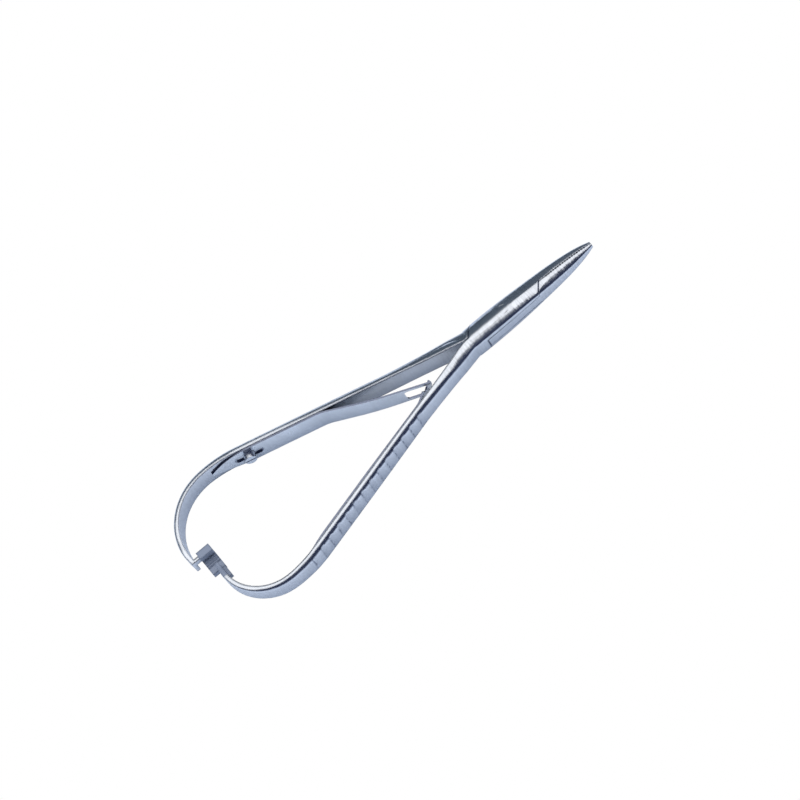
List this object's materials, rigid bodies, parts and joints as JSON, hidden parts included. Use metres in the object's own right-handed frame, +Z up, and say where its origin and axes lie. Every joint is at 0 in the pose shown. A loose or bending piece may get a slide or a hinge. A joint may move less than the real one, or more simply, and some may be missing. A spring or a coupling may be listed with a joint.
{
  "type": "ligature tying pliers",
  "caption": "Slender steel pliers with a box-lock pivot, serrated jaws, ratchet handle ends and crossed leaf springs.",
  "frame": {"origin": "centre of the pivot pin at the ground underside of the box lock, which is the plane that the pliers lie on", "axes": "+X from the pivot to the jaw tips, +Y to the handle that carries the forked leaf, +Z up out of the resting plane along the pivot axis"},
  "size_m": [0.1394, 0.0452, 0.0072],
  "materials": {
    "satin_steel": "satin forged stainless steel, polished on the edges",
    "spring_steel": "plain satin stainless spring strip",
    "bright_steel": "turned stainless steel"
  },
  "bodies": {
    "box_side": {"box_arm": "satin_steel", "pivot_pin": "satin_steel", "tongue_leaf_spring": "spring_steel", "tongue_leaf_screw": "bright_steel"},
    "through_side": {"through_arm": "satin_steel", "fork_leaf_spring": "spring_steel", "fork_leaf_screw": "bright_steel"}
  },
  "joints": [
    {"name": "pivot", "type": "hinge", "parent": "box_side", "child": "through_side", "pos_m": [0, 0, 0], "axis": [0, 0, -1], "range_deg": [0, 12], "deforming": ["fork_leaf_spring", "tongue_leaf_spring"]}
  ]
}
